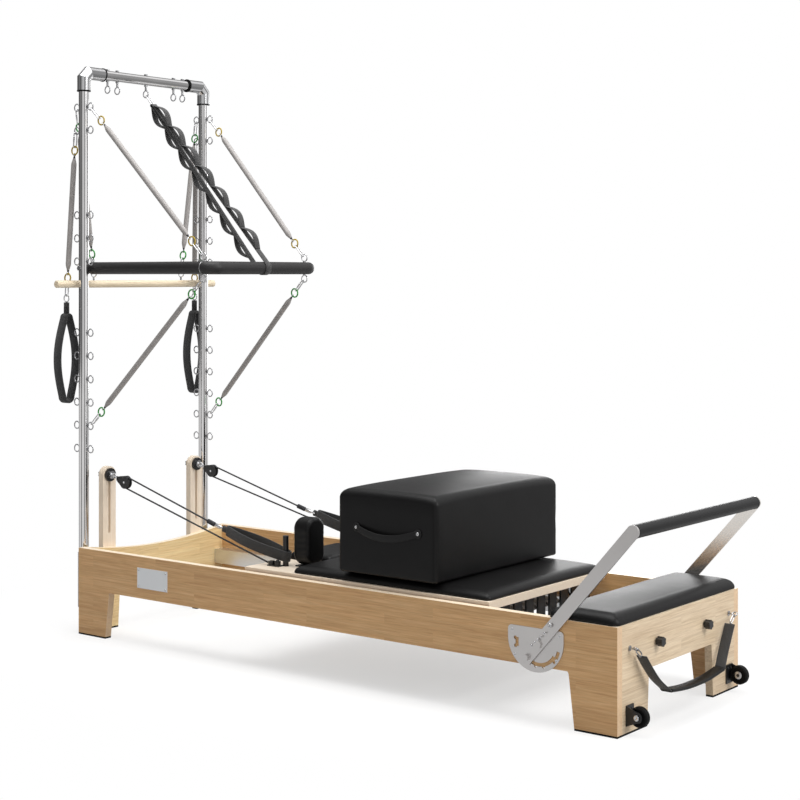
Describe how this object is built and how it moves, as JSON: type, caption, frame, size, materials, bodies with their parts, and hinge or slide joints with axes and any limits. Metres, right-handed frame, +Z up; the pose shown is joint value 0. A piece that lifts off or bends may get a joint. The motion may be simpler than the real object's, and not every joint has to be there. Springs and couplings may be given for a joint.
{
  "type": "pilates tower unit",
  "caption": "Wooden pilates reformer with a sliding padded carriage, foot bar, sitting box and half tower with push bar, roll bar, springs and straps.",
  "frame": {"origin": "on the floor, under the middle of the whole outline", "axes": "+X from the tower end to the foot bar end, +Y across the frame, +Z up"},
  "size_m": [2.5108, 0.84, 2.1225],
  "materials": {
    "oak": "lacquered oak strips",
    "pale_wood": "satin birch",
    "leather_black": "fine grain",
    "foam_black": "matt foam",
    "rubber_black": "matt",
    "plastic_black": "satin",
    "webbing_black": "woven",
    "rope_black": "braided",
    "chrome": "polished",
    "steel": "brushed",
    "track_aluminium": "satin",
    "spring_grey": "smooth sleeve",
    "plate_white": "bare satin",
    "frame_black": "satin"
  },
  "bodies": {
    "frame": {"side_rail_near": "oak", "side_rail_far": "oak", "head_board": "oak", "foot_board": "oak", "leg_pads": "rubber_black", "track_rails": "track_aluminium", "standing_board": "oak", "standing_pad": "leather_black", "gear_bar": "frame_black", "carriage_springs": "spring_grey", "riser_near": "pale_wood", "riser_far": "pale_wood", "riser_clamps": "plastic_black", "pulley_blocks": "frame_black", "rope_near": "rope_black", "rope_far": "rope_black", "post_near": "chrome", "post_far": "chrome", "crossbar": "chrome", "elbows": "chrome", "post_brackets": "chrome", "eye_bolts": "chrome", "quadrant_near": "steel", "quadrant_far": "steel", "wheel_brackets": "frame_black", "carry_strap": "webbing_black", "carry_links": "chrome", "name_plate": "plate_white", "upper_springs": "spring_grey", "lower_springs": "spring_grey", "loop_strap": "webbing_black"},
    "carriage": {"carriage_deck": "pale_wood", "carriage_pad": "leather_black", "carriage_trucks": "steel", "shoulder_rest_near": "leather_black", "shoulder_rest_far": "leather_black", "shoulder_posts": "plastic_black", "rope_cleats": "plastic_black", "hand_strap_near": "webbing_black", "hand_strap_far": "webbing_black"},
    "wheels_head": {"carriage_wheels_head": "rubber_black"},
    "wheels_foot": {"carriage_wheels_foot": "rubber_black"},
    "headrest": {"headrest_pad": "leather_black"},
    "box": {"sitting_box": "leather_black", "box_handles": "leather_black"},
    "footbar": {"footbar_arms": "steel", "footbar_grip": "foam_black"},
    "push_bar": {"push_bar": "foam_black"},
    "roll_bar": {"roll_bar": "pale_wood", "roll_springs": "spring_grey"},
    "strap_near": {"foot_strap_near": "webbing_black", "strap_spring_near": "spring_grey"},
    "strap_far": {"foot_strap_far": "webbing_black", "strap_spring_far": "spring_grey"},
    "pulley_near": {"sheave_near": "plastic_black"},
    "pulley_far": {"sheave_far": "plastic_black"},
    "transport_near": {"transport_wheel_near": "rubber_black"},
    "transport_far": {"transport_wheel_far": "rubber_black"},
    "knob_near": {"knob_near": "plastic_black"},
    "knob_far": {"knob_far": "plastic_black"}
  },
  "joints": [
    {"name": "carriage_slide", "type": "slide", "parent": "frame", "child": "carriage", "axis": [1, 0, 0], "range_m": [-0.42, 0], "stiffness_N_per_m": 200, "springref_m": 0.05, "deforming": ["rope_near", "rope_far", "carriage_springs"]},
    {"name": "head_wheels_roll", "type": "hinge", "parent": "carriage", "child": "wheels_head", "pos_m": [-0.22535, 0, 0.256], "axis": [0, 1, 0], "continuous": true},
    {"name": "foot_wheels_roll", "type": "hinge", "parent": "carriage", "child": "wheels_foot", "pos_m": [0.59465, 0, 0.256], "axis": [0, 1, 0], "continuous": true},
    {"name": "headrest_tilt", "type": "hinge", "parent": "carriage", "child": "headrest", "pos_m": [-0.10835, 0, 0.351], "axis": [0, 1, 0], "range_deg": [0, 30]},
    {"name": "box_lift", "type": "slide", "parent": "carriage", "child": "box", "axis": [0, 0, 1], "range_m": [0, 0.25]},
    {"name": "footbar_tilt", "type": "hinge", "parent": "frame", "child": "footbar", "pos_m": [0.91465, 0, 0.238], "axis": [0, 1, 0], "range_deg": [-60, 35]},
    {"name": "push_bar_swing", "type": "hinge", "parent": "frame", "child": "push_bar", "pos_m": [-1.16635, 0, 1.36], "axis": [0, 1, 0], "range_deg": [-50, 50], "stiffness_Nm_per_rad": 120, "springref_deg": -5.73, "deforming": ["upper_springs", "lower_springs", "loop_strap"]},
    {"name": "roll_bar_swing", "type": "hinge", "parent": "frame", "child": "roll_bar", "pos_m": [-1.20435, 0, 1.96713], "axis": [0, 1, 0], "range_deg": [0, 35]},
    {"name": "foot_strap_swing_near", "type": "hinge", "parent": "frame", "child": "strap_near", "pos_m": [-1.20435, -0.319, 1.87963], "axis": [0, 1, 0], "range_deg": [0, 42.5]},
    {"name": "foot_strap_swing_far", "type": "hinge", "parent": "frame", "child": "strap_far", "pos_m": [-1.20435, 0.319, 1.87963], "axis": [0, 1, 0], "range_deg": [0, 42.5]},
    {"name": "pulley_spin_near", "type": "hinge", "parent": "frame", "child": "pulley_near", "pos_m": [-1.03035, -0.232, 0.555], "axis": [0, 1, 0], "continuous": true},
    {"name": "pulley_spin_far", "type": "hinge", "parent": "frame", "child": "pulley_far", "pos_m": [-1.03035, 0.232, 0.555], "axis": [0, 1, 0], "continuous": true},
    {"name": "transport_roll_near", "type": "hinge", "parent": "frame", "child": "transport_near", "pos_m": [1.21665, -0.321, 0.056], "axis": [0, 1, 0], "continuous": true},
    {"name": "transport_roll_far", "type": "hinge", "parent": "frame", "child": "transport_far", "pos_m": [1.21665, 0.321, 0.056], "axis": [0, 1, 0], "continuous": true},
    {"name": "knob_turn_near", "type": "hinge", "parent": "frame", "child": "knob_near", "pos_m": [1.17965, -0.153, 0.242], "axis": [1, 0, 0], "continuous": true},
    {"name": "knob_turn_far", "type": "hinge", "parent": "frame", "child": "knob_far", "pos_m": [1.17965, 0.153, 0.242], "axis": [1, 0, 0], "continuous": true}
  ],
  "couplings": [
    {"joint": "head_wheels_roll", "follows": "carriage_slide", "rad_per_m": 35.714},
    {"joint": "foot_wheels_roll", "follows": "carriage_slide", "rad_per_m": 35.714},
    {"joint": "foot_strap_swing_near", "follows": "roll_bar_swing", "ratio": 1.2},
    {"joint": "foot_strap_swing_far", "follows": "roll_bar_swing", "ratio": 1.2}
  ]
}
